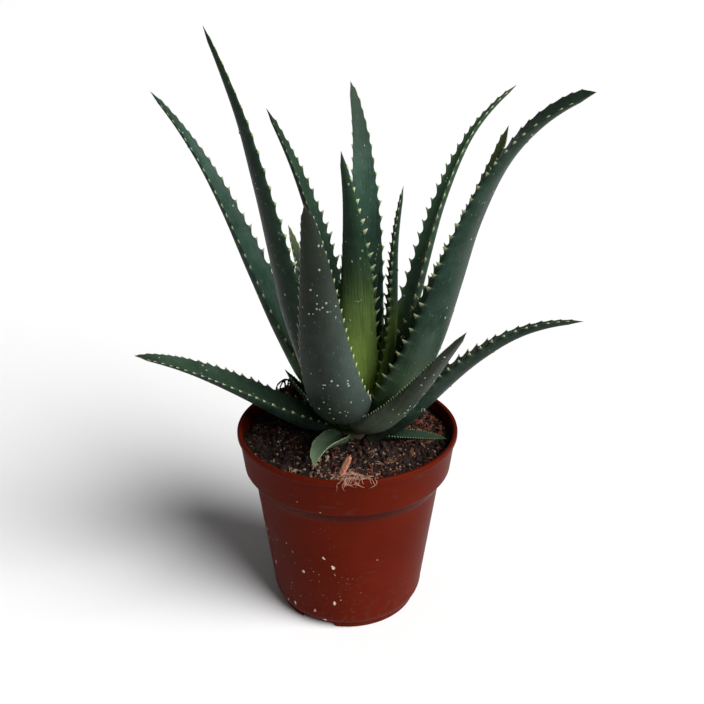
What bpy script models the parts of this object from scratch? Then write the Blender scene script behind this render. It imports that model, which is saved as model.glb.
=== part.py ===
"""Potted aloe: a plastic nursery pot, its soil, and a rosette of separate fleshy leaves on a short stem.

Metres, +Z up. The origin is on the pot's axis, on the surface that the pot stands on. Azimuths are in
degrees, counter-clockwise from +X seen from above, so -90 is the front.
"""

import math
from collections import namedtuple

import bmesh
import bpy
import numpy as np
from mathutils import Matrix, Vector

MM = 0.001

# Clearance between pieces that touch.
GAP = 0.3 * MM

# Pot
RIM_DIAMETER = 120 * MM
POT_HEIGHT = 107 * MM
WALL = 1.3 * MM
BEAD_HEIGHT = 3.6 * MM
BEAD_LIP = 1.2 * MM
COLLAR_HEIGHT = 22.5 * MM
COLLAR_TAPER = 2.2 * MM
STEP_WIDTH = 5.6 * MM
STEP_HEIGHT = 8 * MM
BASE_DIAMETER = 83 * MM
BASE_CORNER = 9 * MM
FOOT_INSET = 2.6 * MM
FOOT_HEIGHT = 3.4 * MM
FOOT_WIDTH = 2.6 * MM
FLOOR_RISE = 2.2 * MM
DRAIN_HOLES = 6
DRAIN_DIAMETER = 9 * MM
FOOT_NOTCHES = 3
NOTCH_WIDTH = 21 * MM
NOTCH_FIRST = -115
POT_STEPS = 48

# Soil
SOIL_BELOW_RIM = 7 * MM
SOIL_MOUND = 3 * MM
SOIL_STEPS = 36

# Stem: the short trunk that the leaves grow round, with its crown buried in the soil.
STEM_X = 4 * MM
STEM_Y = 0 * MM
STEM_RADIUS = 10.5 * MM
STEM_SHOULDER = 7 * MM
STEM_BURIED = 30 * MM
STEM_ABOVE = 18 * MM
STEM_STEPS = 24

# Bark chip on the soil, and two dry tufts: fibre over the front of the rim, root loops at the back.
CHIP_SIZE = (12 * MM, 3.8 * MM, 1.6 * MM)
CHIP_X = -1 * MM
CHIP_Y = -42 * MM
CHIP_TURN = 60
CHIP_LEAN = 35
TUFT_DIAMETER = 1.8 * MM
FIBRE_X = 5 * MM
ROOTS_AZIMUTH = 136
ROOTS_INSET = 5.5 * MM
ROOTS_HEIGHT = 15 * MM
ROOTS_SPREAD = 10 * MM

# Leaf section: how far round a leaf wraps at its base and its tip, in degrees each side of the middle.
WRAP_BASE = 62
WRAP_TIP = 16
LEAF_STATIONS = 12
LEAF_ACROSS = 5
TIP_SHARE = 0.05
# A leaf narrows again into its foot on the stem.
FOOT_SHARE = 0.5
FOOT_LENGTH = 0.22

GREEN = (0.045, 0.13, 0.065)
DARK_GREEN = (0.03, 0.085, 0.05)
INNER_GREEN = (0.12, 0.25, 0.05)
TERRACOTTA = (0.26, 0.035, 0.015)
SOIL_BROWN = (0.035, 0.018, 0.011)
BARK_BROWN = (0.30, 0.10, 0.05)
FIBRE_TAN = (0.33, 0.20, 0.13)

# A leaf starts at an azimuth, at a height above the soil's edge and a distance from the stem's axis. It
# rises at one angle at its base, another at its middle and another at its tip. Sway turns it sideways
# towards its tip, and roll tips its face. Lengths are in millimetres and angles in degrees.
Leaf = namedtuple("Leaf", "name azimuth sway height start length width thick rise middle tip roll taper")
LEAVES = [
    #    name                azim  sway  up start  len wide thick  rise mid tip roll taper
    Leaf("leaf_front_broad",  257,  -2,  19,   8, 163,  40,   7,  13,  70,  59, -24, 0.81),
    Leaf("leaf_left_upper",   155,   2,  10,   9, 200,  25,   7,  47,  64,  40,  14, 1.00),
    Leaf("leaf_left_tall",    207,  -6,  11,   8, 216,  40,   7,  60,  78,  64,   7, 0.94),
    Leaf("leaf_left_inner",   164,   0,  14,   7, 167,  29,   6,  90,  78,  58,   8, 1.00),
    Leaf("leaf_left_back",    134,   0,  12,   8,  106,  20,   6,   64,  67,  62,   0, 0.80),
    Leaf("leaf_back_tall",     72,  58,  15,   7,  173,  27,   6,   70,  79,  68,   8, 0.68),
    Leaf("leaf_centre_left",  275, -70,  16,   6,  144,  28,   7,   90,  87,  76,   0, 0.73),
    Leaf("leaf_centre_right",   4,   4,  16,   6,  125,  18,   5,   62,  88,  76,   0, 0.80),
    Leaf("leaf_right_slim",    40,  -8,  14,   6, 198,  16,   7,  46,  70,  22,   0, 1.15),
    Leaf("leaf_right_broad",  -33,  -8,  11,   8, 222,  47,   8,  38,  74,  18, -25, 0.54),
    Leaf("leaf_right_back",    12,   2,  13,   8, 168,  22,   6,  60,  65,  72, -22, 0.62),
    Leaf("leaf_right_short",  -62,   0,  10,  11, 126,  24,   6,  31,  48,  46,  -8, 0.74),
    Leaf("leaf_right_low",    -19,  -3,   3,  13, 134,  36,   7,  41,  46,   3,  11, 0.96),
    Leaf("leaf_left_low",     188,  -2,   5,  10, 116,  21,   7,  25,  30,   7,  22, 0.66),
    Leaf("leaf_front_small",  236,  34,   4,   9,   46,  16,   4,   11,  12, -20,   0, 0.70),
    Leaf("leaf_right_small",  -25,   0,   3,  12,   42,  11,   3,   10,  13,  -2, -12, 0.62),
    Leaf("leaf_left_small",   176,   0,   6,  10,   43,  14,   4,   46,  50,  53,   0, 0.70),
    Leaf("leaf_back_low",      85,   0,   6,  10,  96,  24,   7,  30,  38,  20,   0, 0.80),
    Leaf("leaf_back_left",    114,   0,   7,  10,  100,  22,   7,   36,  42,  30,   0, 0.80),
    Leaf("leaf_bud",            0, -30,  19,   3,   96,  10,   4,   84,  85,  78,   0, 0.70),
]


def turn(degrees):
    """Horizontal unit vector at an azimuth."""
    angle = math.radians(degrees)
    return np.array([math.cos(angle), math.sin(angle), 0.0])


def soil_edge_height():
    return POT_HEIGHT - SOIL_BELOW_RIM


# ---------------------------------------------------------------- leaves


def leaf_line(leaf, shares):
    """Points, and side, forward and inner-face directions, at these shares of a leaf's length."""
    fine = np.linspace(0, 1, 161)
    rise = np.radians(
        leaf.rise * (1 - fine) * (1 - 2 * fine) + leaf.middle * 4 * fine * (1 - fine) + leaf.tip * fine * (2 * fine - 1)
    )
    heading = np.radians(leaf.azimuth + leaf.sway * fine**1.5)
    out = np.stack([np.cos(heading), np.sin(heading), np.zeros_like(fine)], axis=1)
    up = np.array([0.0, 0.0, 1.0])
    forward = np.cos(rise)[:, None] * out + np.sin(rise)[:, None] * up
    steps = (forward[1:] + forward[:-1]) / 2 * leaf.length * MM / (len(fine) - 1)
    start = np.array([STEM_X, STEM_Y, soil_edge_height() + leaf.height * MM]) + turn(leaf.azimuth) * leaf.start * MM
    points = start + np.vstack([np.zeros(3), np.cumsum(steps, axis=0)])

    def at(values):
        return np.stack([np.interp(shares, fine, values[:, k]) for k in range(3)], axis=1)

    points, forward, out = at(points), at(forward), at(out)
    forward /= np.linalg.norm(forward, axis=1)[:, None]
    across = np.cross(up, out)
    across /= np.linalg.norm(across, axis=1)[:, None]
    inner = np.cross(forward, across)
    roll = math.radians(leaf.roll) * shares[:, None]
    return points, across * np.cos(roll) - inner * np.sin(roll), forward, inner * np.cos(roll) + across * np.sin(roll)


def leaf_sizes(leaf, shares):
    """Half width, thickness and wrap angle at these shares of a leaf's length."""
    left = 1 - shares
    foot = np.clip(shares / FOOT_LENGTH, 0, 1)
    foot = FOOT_SHARE + (1 - FOOT_SHARE) * foot**2 * (3 - 2 * foot)
    half = leaf.width * MM / 2 * foot * (np.maximum(left, 0) ** leaf.taper * (1 - TIP_SHARE) + TIP_SHARE)
    sheath = np.minimum(1, 0.5 + 3 * shares)
    thick = leaf.thick * MM * (sheath * np.maximum(left, 0) ** 0.6 * (1 - 2 * TIP_SHARE) + 2 * TIP_SHARE)
    wrap = np.radians(WRAP_TIP + (WRAP_BASE - WRAP_TIP) * left**2)
    return half, thick, wrap


def leaf_rings(leaf, shares, across, grow=0.0):
    """Closed cross-sections of a leaf: along its inner face from one margin to the other, then back outside."""
    points, side, forward, inner = leaf_line(leaf, shares)
    points[0] -= 2 * grow * forward[0]
    points[-1] += 2 * grow * forward[-1]
    half, thick, wrap = leaf_sizes(leaf, shares)
    inside = np.linspace(-1, 1, across + 1)
    outside = inside[-2:0:-1]
    rings = []
    for i in range(len(shares)):
        radius = half[i] / wrap[i]
        turned = np.concatenate([inside, outside]) * (wrap[i] + 2 * grow / radius)
        depth = np.concatenate([np.full(len(inside), grow), -thick[i] * (1 - outside**2) ** 0.7 - grow])
        reach = radius - depth
        u, n = reach * np.sin(turned), radius - reach * np.cos(turned)
        rings.append(points[i] + u[:, None] * side[i] + n[:, None] * inner[i])
    return rings


def loft(name, rings):
    """A closed mesh through rings of the same number of points, capped at both ends."""
    bm = bmesh.new()
    loops = [[bm.verts.new(Vector(p)) for p in ring] for ring in rings]
    for low, high in zip(loops, loops[1:]):
        for k in range(len(low)):
            nxt = (k + 1) % len(low)
            bm.faces.new([low[k], low[nxt], high[nxt]])
            bm.faces.new([low[k], high[nxt], high[k]])
    bm.faces.new(reversed(loops[0]))
    bm.faces.new(loops[-1])
    bmesh.ops.recalc_face_normals(bm, faces=bm.faces)
    mesh = bpy.data.meshes.new(name)
    bm.to_mesh(mesh)
    bm.free()
    mesh.shade_smooth()
    return bpy.data.objects.new(name, mesh)


# ---------------------------------------------------------------- Blender helpers


def material(name, colour, roughness):
    made = bpy.data.materials.new(name)
    made.use_nodes = True
    shader = made.node_tree.nodes["Principled BSDF"]
    shader.inputs["Base Color"].default_value = (*colour, 1)
    shader.inputs["Roughness"].default_value = roughness
    return made


def turned(name, profile, steps, x=0.0, y=0.0):
    """A turned object: the profile, top to bottom on its outer side, swept once round a vertical axis."""
    mesh = bpy.data.meshes.new(name)
    mesh.from_pydata([(r, 0, z) for r, z in profile], [(i, i + 1) for i in range(len(profile) - 1)], [])
    made = bpy.data.objects.new(name, mesh)
    made.location = (x, y, 0)
    screw = made.modifiers.new("turn", "SCREW")
    screw.steps = screw.render_steps = steps
    screw.use_merge_vertices = True
    screw.merge_threshold = 0.00005
    screw.use_smooth_shade = True
    return made


def cut(target, cutter):
    boolean = target.modifiers.new(cutter.name, "BOOLEAN")
    boolean.operation = "DIFFERENCE"
    boolean.solver = "EXACT"
    boolean.object = cutter


def as_cutter(thing, cutters):
    thing.display_type = "WIRE"
    thing.hide_render = True
    cutters.objects.link(thing)
    return thing


def keep_main_body(thing):
    """Replaces an object's modifiers by their result, without the scraps that the cuts leave behind."""
    bpy.context.view_layer.update()
    graph = bpy.context.evaluated_depsgraph_get()
    mesh = bpy.data.meshes.new_from_object(thing.evaluated_get(graph), depsgraph=graph)
    bm = bmesh.new()
    bm.from_mesh(mesh)
    bmesh.ops.remove_doubles(bm, verts=bm.verts, dist=0.00002)
    bmesh.ops.dissolve_degenerate(bm, dist=0.00001, edges=bm.edges)
    bmesh.ops.holes_fill(bm, edges=[edge for edge in bm.edges if edge.is_boundary], sides=0)
    bodies, seen = [], set()
    for start in bm.verts:
        if start in seen:
            continue
        body, todo = [], [start]
        seen.add(start)
        while todo:
            vert = todo.pop()
            body.append(vert)
            for edge in vert.link_edges:
                other = edge.other_vert(vert)
                if other not in seen:
                    seen.add(other)
                    todo.append(other)
        bodies.append(body)
    bodies.sort(key=len)
    bmesh.ops.delete(bm, geom=[vert for body in bodies[:-1] for vert in body], context="VERTS")
    bmesh.ops.triangulate(bm, faces=bm.faces)
    bm.to_mesh(mesh)
    bm.free()
    thing.modifiers.clear()
    thing.data = mesh


def near(a, b):
    """Whether two unmoved mesh objects' bounding boxes meet."""
    def box(thing):
        points = np.array([tuple(v.co) for v in thing.data.vertices])
        return points.min(axis=0), points.max(axis=0)

    (low_a, high_a), (low_b, high_b) = box(a), box(b)
    return bool(np.all(low_a <= high_b) and np.all(low_b <= high_a))


# ---------------------------------------------------------------- pot, soil and stem


def wall_radius(z):
    """Outer radius of the pot's lower wall."""
    top = RIM_DIAMETER / 2 - BEAD_LIP - COLLAR_TAPER - STEP_WIDTH
    step = POT_HEIGHT - COLLAR_HEIGHT - STEP_HEIGHT
    return BASE_DIAMETER / 2 + (top - BASE_DIAMETER / 2) * (z - FOOT_HEIGHT) / (step - FOOT_HEIGHT)


def pot_inside():
    """The pot's inner face from its rim down to the middle of its floor."""
    rim = RIM_DIAMETER / 2 - BEAD_LIP - WALL
    step = POT_HEIGHT - COLLAR_HEIGHT
    floor = FOOT_HEIGHT + WALL
    corner = FOOT_HEIGHT + BASE_CORNER
    points = [(rim, POT_HEIGHT - 0.5 * MM), (rim - COLLAR_TAPER, step - 0.3 * MM)]
    points += [(wall_radius(step - STEP_HEIGHT) - WALL, step - STEP_HEIGHT - 0.5 * MM)]
    inner = BASE_CORNER - WALL
    for angle in (0, 30, 60, 90):
        a = math.radians(angle)
        points.append((wall_radius(corner) - WALL - inner * (1 - math.cos(a)), corner - inner * math.sin(a)))
    return points + [(12 * MM, floor + FLOOR_RISE), (0, floor + FLOOR_RISE)]


def pot_profile():
    rim = RIM_DIAMETER / 2
    collar = rim - BEAD_LIP
    step = POT_HEIGHT - COLLAR_HEIGHT
    corner = FOOT_HEIGHT + BASE_CORNER
    foot = BASE_DIAMETER / 2 - FOOT_INSET
    under = POT_HEIGHT - BEAD_HEIGHT
    points = [
        (collar - 0.5 * MM, POT_HEIGHT),
        (rim - 0.6 * MM, POT_HEIGHT),
        (rim, POT_HEIGHT - 0.9 * MM),
        (rim, under + 0.9 * MM),
        (rim - 0.5 * MM, under),
        (collar, under - 0.3 * MM),
        (collar - COLLAR_TAPER, step + 0.8 * MM),
        (collar - COLLAR_TAPER - 0.9 * MM, step),
        (wall_radius(step - STEP_HEIGHT), step - STEP_HEIGHT),
    ]
    for angle in (0, 30, 60, 85):
        a = math.radians(angle)
        reach = wall_radius(corner) - foot
        points.append((foot + reach * math.cos(a), corner - (BASE_CORNER - 0.4 * MM) * math.sin(a)))
    points += [
        (foot, 0.5 * MM),
        (foot - 0.5 * MM, 0),
        (foot - FOOT_WIDTH, 0),
        (foot - FOOT_WIDTH, FOOT_HEIGHT),
        (12 * MM, FOOT_HEIGHT + FLOOR_RISE),
        (0, FOOT_HEIGHT + FLOOR_RISE),
    ]
    return list(reversed(pot_inside())) + points


def soil_top(radius):
    """Height of the soil's surface at a radius from the pot's axis."""
    return soil_edge_height() + SOIL_MOUND * max(0.0, 1 - (radius / (45 * MM)) ** 2)


def soil_profile():
    rim = RIM_DIAMETER / 2 - BEAD_LIP - WALL
    fall = COLLAR_TAPER * SOIL_BELOW_RIM / COLLAR_HEIGHT
    points = [(r * MM, soil_top(r * MM)) for r in (0, 10, 20, 30, 40)]
    points.append((rim - fall - GAP, soil_edge_height()))
    return points + [(max(0.0, r - GAP) if r else 0.0, z + GAP) for r, z in pot_inside()[1:]]


def stem_profile(grow=0.0):
    ground = soil_edge_height()
    points = [
        (0, STEM_ABOVE + grow),
        (STEM_SHOULDER * 0.6 + grow, STEM_ABOVE - 1 * MM + grow),
        (STEM_SHOULDER + grow, STEM_ABOVE - 4 * MM),
        (STEM_RADIUS - 0.5 * MM + grow, 8 * MM),
        (STEM_RADIUS + grow, 2 * MM),
        (STEM_RADIUS * 0.8 + grow, -STEM_BURIED * 0.6),
        (STEM_RADIUS * 0.5 + grow, -STEM_BURIED - grow),
        (0, -STEM_BURIED - grow),
    ]
    return [(r, ground + z) for r, z in points]


def tuft(name, points):
    """A bundle of dry fibres as one round strand."""
    curve = bpy.data.curves.new(name, "CURVE")
    curve.dimensions = "3D"
    curve.bevel_depth = TUFT_DIAMETER / 2
    curve.bevel_resolution = 1
    curve.use_fill_caps = True
    spline = curve.splines.new("POLY")
    spline.points.add(len(points) - 1)
    for point, place in zip(spline.points, points):
        point.co = (*place, 1)
    return bpy.data.objects.new(name, curve)


def main():
    for thing in list(bpy.data.objects):
        bpy.data.objects.remove(thing)
    parts = bpy.data.collections.new("potted_aloe")
    cutters = bpy.data.collections.new("cutters")
    bpy.context.scene.collection.children.link(parts)
    bpy.context.scene.collection.children.link(cutters)

    green = material("leaf_green", GREEN, 0.45)
    dark = material("leaf_dark_green", DARK_GREEN, 0.45)
    inner_green = material("leaf_inner_green", INNER_GREEN, 0.45)
    plastic = material("pot_plastic", TERRACOTTA, 0.4)
    earth = material("soil_earth", SOIL_BROWN, 0.95)
    bark = material("bark", BARK_BROWN, 0.85)
    fibre = material("dry_fibre", FIBRE_TAN, 0.9)

    def add(thing, looks):
        thing.data.materials.clear()
        thing.data.materials.append(looks)
        parts.objects.link(thing)
        return thing

    # Pot, with drain holes in its floor and the foot ring cut away in three places.
    pot = add(turned("pot", pot_profile(), POT_STEPS), plastic)
    foot = BASE_DIAMETER / 2 - FOOT_INSET
    for i in range(DRAIN_HOLES):
        way = turn(NOTCH_FIRST + 360 * i / DRAIN_HOLES) * (foot - FOOT_WIDTH - DRAIN_DIAMETER)
        bpy.ops.mesh.primitive_cylinder_add(
            vertices=16, radius=DRAIN_DIAMETER / 2, depth=16 * MM, location=(way[0], way[1], FOOT_HEIGHT)
        )
        hole = bpy.context.object
        hole.name = f"cut_drain_{i + 1}"
        bpy.context.collection.objects.unlink(hole)
        cut(pot, as_cutter(hole, cutters))
    for i in range(FOOT_NOTCHES):
        way = turn(NOTCH_FIRST + 360 * i / FOOT_NOTCHES) * foot
        bpy.ops.mesh.primitive_cube_add(size=1, location=(way[0], way[1], 0))
        notch = bpy.context.object
        notch.name = f"cut_notch_{i + 1}"
        notch.scale = (12 * MM, NOTCH_WIDTH, 2 * (FOOT_HEIGHT - 0.8 * MM))
        notch.rotation_euler = (0, 0, math.radians(NOTCH_FIRST + 360 * i / FOOT_NOTCHES))
        bpy.context.collection.objects.unlink(notch)
        cut(pot, as_cutter(notch, cutters))

    stem = add(turned("stem", stem_profile(), STEM_STEPS, STEM_X, STEM_Y), inner_green)
    stem_cutter = as_cutter(turned("cut_stem", stem_profile(GAP), STEM_STEPS, STEM_X, STEM_Y), cutters)

    # Leaves, the innermost first: each is cut clear of the stem and of the leaves inside it.
    shares = np.linspace(0, 1, LEAF_STATIONS) ** 0.9
    inside = []
    for leaf in sorted(LEAVES, key=lambda one: -one.height):
        looks = inner_green if leaf.height >= 14 else dark if leaf.name in ("leaf_front_broad", "leaf_left_tall") else green
        blade = add(loft(leaf.name, leaf_rings(leaf, shares, LEAF_ACROSS)), looks)
        for other in [stem_cutter] + [other for other in inside if near(blade, other)]:
            cut(blade, other)
            keep_main_body(blade)
        grown = loft("cut_" + leaf.name, leaf_rings(leaf, shares, LEAF_ACROSS, GAP))
        inside.append(as_cutter(grown, cutters))

    # Soil, fitted round the stem and under the lowest leaves.
    soil = add(turned("soil", soil_profile(), SOIL_STEPS), earth)
    cut(soil, stem_cutter)
    for leaf, grown in zip(sorted(LEAVES, key=lambda one: -one.height), inside):
        if leaf.height < 10:
            cut(soil, grown)

    chip_height = soil_top(abs(CHIP_Y)) + CHIP_SIZE[2] + CHIP_SIZE[0] / 2 * math.sin(math.radians(CHIP_LEAN))
    bpy.ops.mesh.primitive_cube_add(size=1, location=(CHIP_X, CHIP_Y, chip_height))
    chip = bpy.context.object
    chip.name = "bark_chip"
    chip.data.transform(Matrix.Diagonal((*CHIP_SIZE, 1)))
    chip.rotation_euler = (0, math.radians(-CHIP_LEAN), math.radians(CHIP_TURN))
    bevel = chip.modifiers.new("edges", "BEVEL")
    bevel.width = 0.4 * MM
    bpy.context.collection.objects.unlink(chip)
    add(chip, bark)

    rim, top = RIM_DIAMETER / 2, POT_HEIGHT
    reach = TUFT_DIAMETER / 2 + GAP
    over = [(rim - 11 * MM, soil_edge_height() + reach + 0.6 * MM), (rim - 5 * MM, top - 1 * MM)]
    over += [(rim - 2.4 * MM, top + reach + 0.1 * MM), (rim, top + reach), (rim + reach, top), (rim + reach, top - 4 * MM)]
    add(tuft("fibre_tuft", [(FIBRE_X + i * 0.5 * MM, -r, z) for i, (r, z) in enumerate(over)]), fibre)
    way, across = turn(ROOTS_AZIMUTH), turn(ROOTS_AZIMUTH + 90)
    middle = rim - BEAD_LIP - WALL - ROOTS_INSET
    loop = []
    for i in range(9):
        a = math.pi * i / 8
        place = way * middle + across * ROOTS_SPREAD / 2 * math.cos(a)
        loop.append((place[0], place[1], soil_edge_height() + reach + 0.8 * MM + ROOTS_HEIGHT * math.sin(a) ** 0.8))
    add(tuft("dry_root_tuft", loop), fibre)


if __name__ == "__main__":
    main()
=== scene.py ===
"""Looks of the potted aloe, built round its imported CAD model.

Metres, +Z up, the origin under the pot's axis.
"""

import math
from collections import namedtuple

import bmesh
import bpy
import numpy as np
from mathutils import Matrix, Vector


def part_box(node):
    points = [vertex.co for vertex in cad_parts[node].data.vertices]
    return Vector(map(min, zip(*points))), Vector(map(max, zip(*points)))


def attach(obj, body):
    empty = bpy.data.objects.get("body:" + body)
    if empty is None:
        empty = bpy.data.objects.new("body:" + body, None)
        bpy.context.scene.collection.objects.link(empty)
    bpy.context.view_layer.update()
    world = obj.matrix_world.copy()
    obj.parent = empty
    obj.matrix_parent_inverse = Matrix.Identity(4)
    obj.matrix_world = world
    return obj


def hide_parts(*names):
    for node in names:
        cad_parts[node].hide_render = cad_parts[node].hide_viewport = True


MM = 0.001

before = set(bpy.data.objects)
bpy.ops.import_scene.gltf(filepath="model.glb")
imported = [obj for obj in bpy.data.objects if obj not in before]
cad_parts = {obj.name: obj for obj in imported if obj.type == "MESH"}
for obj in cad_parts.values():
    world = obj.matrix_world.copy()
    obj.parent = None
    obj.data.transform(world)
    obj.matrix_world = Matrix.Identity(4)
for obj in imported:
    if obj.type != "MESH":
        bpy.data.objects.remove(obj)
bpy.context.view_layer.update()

# ---- sizes shared with the CAD model

RIM_RADIUS = 60 * MM
POT_HEIGHT = 107 * MM
WALL = 1.3 * MM
BEAD_HEIGHT = 3.6 * MM
BEAD_LIP = 1.2 * MM
COLLAR_HEIGHT = 22.5 * MM
COLLAR_TAPER = 2.2 * MM
STEP_WIDTH = 5.6 * MM
STEP_HEIGHT = 8 * MM
BASE_RADIUS = 41.5 * MM
BASE_CORNER = 9 * MM
FOOT_INSET = 2.6 * MM
FOOT_HEIGHT = 3.4 * MM
FOOT_WIDTH = 2.6 * MM
FLOOR_RISE = 2.2 * MM
FLOOR_MIDDLE = 12 * MM
DRAIN_HOLES = 6
DRAIN_RADIUS = 4.5 * MM
DRAIN_SIDES, DRAIN_REACH = 32, 8 * MM
FOOT_NOTCHES = 3
NOTCH_WIDTH, NOTCH_DEPTH = 21 * MM, 12 * MM
NOTCH_ROOF = 0.8 * MM
NOTCH_FIRST = -115
SOIL_DROP = 7 * MM
SOIL_EDGE = POT_HEIGHT - SOIL_DROP
SOIL_MOUND = 3 * MM
STEM_X, STEM_Y = 4 * MM, 0.0
GAP = 0.3 * MM
CHIP_SIZE = (12 * MM, 3.8 * MM, 1.6 * MM)
CHIP_TURN, CHIP_LEAN = 60, 35

# Half angle, in degrees, that a leaf's section wraps at its base and at its tip. The share of its width left
# at the tip, the share at the foot, and the share of its length over which it widens from there.
WRAP_BASE, WRAP_TIP = 62, 16
TIP_SHARE = 0.05
FOOT_SHARE, FOOT_LENGTH = 0.5, 0.22

# Where each leaf grows and how it bends, as in the CAD model, then how it looks: which skin, the distance
# between its teeth and their height in millimetres, how many pale spots its outer and inner faces have.
Leaf = namedtuple(
    "Leaf",
    "name azimuth sway height start length width thick rise middle tip roll taper "
    "skin pitch tooth spots inner_spots",
)
LEAVES = [
    Leaf("front_broad", 257, -2, 19, 8, 163, 40, 7, 13, 70, 59, -24, 0.81, "slate", 7.5, 1.3, 40, 0),
    Leaf("left_upper", 155, 2, 10, 9, 200, 25, 7, 47, 64, 40, 14, 1.00, "blue", 9.5, 2.1, 10, 6),
    Leaf("left_tall", 207, -6, 11, 8, 216, 40, 7, 60, 78, 64, 7, 0.94, "dark", 10.5, 2.5, 14, 0),
    Leaf("left_inner", 164, 0, 14, 7, 167, 29, 6, 90, 78, 58, 8, 1.00, "dark", 8.5, 2.6, 9, 5),
    Leaf("left_back", 134, 0, 12, 8, 106, 20, 6, 64, 67, 62, 0, 0.80, "olive", 7.0, 1.9, 5, 5),
    Leaf("back_tall", 72, 58, 15, 7, 173, 27, 6, 70, 79, 68, 8, 0.68, "blue", 10.0, 2.3, 4, 4),
    Leaf("centre_left", 275, -70, 16, 6, 144, 28, 7, 90, 87, 76, 0, 0.73, "young", 9.0, 2.7, 17, 0),
    Leaf("centre_right", 4, 4, 16, 6, 125, 18, 5, 62, 88, 76, 0, 0.80, "young", 7.0, 2.4, 4, 4),
    Leaf("right_slim", 40, -8, 14, 6, 198, 16, 7, 46, 70, 22, 0, 1.15, "green", 9.0, 2.6, 5, 9),
    Leaf("right_broad", -33, -8, 11, 8, 222, 47, 8, 38, 74, 18, -25, 0.54, "blue", 9.5, 2.4, 29, 4),
    Leaf("right_back", 12, 2, 13, 8, 168, 22, 6, 60, 65, 72, -22, 0.62, "olive", 8.5, 2.2, 6, 6),
    Leaf("right_short", -62, 0, 10, 11, 126, 24, 6, 31, 48, 46, -8, 0.74, "moss", 3.4, 0.9, 17, 6),
    Leaf("right_low", -19, -3, 3, 13, 134, 36, 7, 41, 46, 3, 11, 0.96, "deep", 8.5, 2.2, 9, 17),
    Leaf("left_low", 188, -2, 5, 10, 116, 21, 7, 25, 30, 7, 22, 0.66, "deep", 6.0, 1.5, 10, 6),
    Leaf("front_small", 236, 34, 4, 9, 46, 16, 4, 11, 12, -20, 0, 0.70, "pale", 1.9, 0.9, 0, 0),
    Leaf("right_small", -25, 0, 3, 12, 42, 11, 3, 10, 13, -2, -12, 0.62, "deep", 1.9, 0.8, 0, 0),
    Leaf("left_small", 176, 0, 6, 10, 43, 14, 4, 46, 50, 53, 0, 0.70, "green", 3.0, 0.9, 0, 0),
    Leaf("back_low", 85, 0, 6, 10, 96, 24, 7, 30, 38, 20, 0, 0.80, "deep", 8.0, 1.8, 13, 6),
    Leaf("back_left", 114, 0, 7, 10, 100, 22, 7, 36, 42, 30, 0, 0.80, "deep", 8.0, 1.8, 12, 6),
    Leaf("bud", 0, -30, 19, 3, 96, 10, 4, 84, 85, 78, 0, 0.70, "young", 4.5, 1.5, 0, 0),
]


def turn(degrees):
    """The level direction at this azimuth."""
    angle = math.radians(degrees)
    return np.array([math.cos(angle), math.sin(angle), 0.0])


def scatter(seed):
    """A random source that stays the same from run to run."""
    return np.random.default_rng(seed)


def unit(vectors):
    return vectors / np.maximum(np.linalg.norm(vectors, axis=-1, keepdims=True), 1e-12)


def mesh_object(name, vertices, faces, attributes=None, smooth=True):
    mesh = bpy.data.meshes.new(name)
    mesh.from_pydata([tuple(v) for v in vertices], [], faces)
    for key, values in (attributes or {}).items():
        layer = mesh.attributes.new(key, "FLOAT", "POINT")
        layer.data.foreach_set("value", np.asarray(values, dtype=np.float32))
    if smooth:
        mesh.shade_smooth()
    mesh.update()
    made = bpy.data.objects.new(name, mesh)
    bpy.context.scene.collection.objects.link(made)
    return made


def place(piece, slot, material, *nodes):
    """Gives a finished piece its material and its body. Its slot is not used."""
    piece.data.materials.clear()
    piece.data.materials.append(material)
    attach(piece, "root")
    if nodes:
        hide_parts(*nodes)
    return piece


def band(low, high, sides):
    """Quads between two rings of points, given the number of each ring's first point."""
    around = [(k, (k + 1) % sides) for k in range(sides)]
    return [(low + k, low + nxt, high + nxt, high + k) for k, nxt in around]


def outward(piece):
    """Makes every face of a closed piece look outwards."""
    bm = bmesh.new()
    bm.from_mesh(piece.data)
    bmesh.ops.recalc_face_normals(bm, faces=bm.faces)
    bm.to_mesh(piece.data)
    bm.free()


def joined(parts):
    """One list of vertices and faces from several."""
    vertices, faces = [], []
    for points, polygons in parts:
        base = len(vertices)
        vertices += [tuple(p) for p in points]
        faces += [tuple(base + i for i in polygon) for polygon in polygons]
    return vertices, faces


def middle_of(node):
    """Middle of a CAD node's box."""
    low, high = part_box(node)
    return (np.array(low) + np.array(high)) / 2


# ---- leaf shape


def leaf_line(leaf, shares):
    """Points, and side, forward and inner-face directions, at these shares of a leaf's length."""
    fine = np.linspace(0, 1, 241)
    rise = np.radians(
        leaf.rise * (1 - fine) * (1 - 2 * fine)
        + leaf.middle * 4 * fine * (1 - fine)
        + leaf.tip * fine * (2 * fine - 1)
    )
    heading = np.radians(leaf.azimuth + leaf.sway * fine**1.5)
    out = np.stack([np.cos(heading), np.sin(heading), np.zeros_like(fine)], axis=1)
    up = np.array([0.0, 0.0, 1.0])
    forward = np.cos(rise)[:, None] * out + np.sin(rise)[:, None] * up
    steps = (forward[1:] + forward[:-1]) / 2 * leaf.length * MM / (len(fine) - 1)
    start = np.array([STEM_X, STEM_Y, SOIL_EDGE + leaf.height * MM]) + turn(leaf.azimuth) * leaf.start * MM
    points = start + np.vstack([np.zeros(3), np.cumsum(steps, axis=0)])

    def at(values):
        return np.stack([np.interp(shares, fine, values[:, k]) for k in range(3)], axis=1)

    points, forward, out = at(points), unit(at(forward)), at(out)
    across = unit(np.cross(up, out))
    inner = np.cross(forward, across)
    roll = math.radians(leaf.roll) * shares[:, None]
    side = across * np.cos(roll) - inner * np.sin(roll)
    return points, side, forward, inner * np.cos(roll) + across * np.sin(roll)


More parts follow.
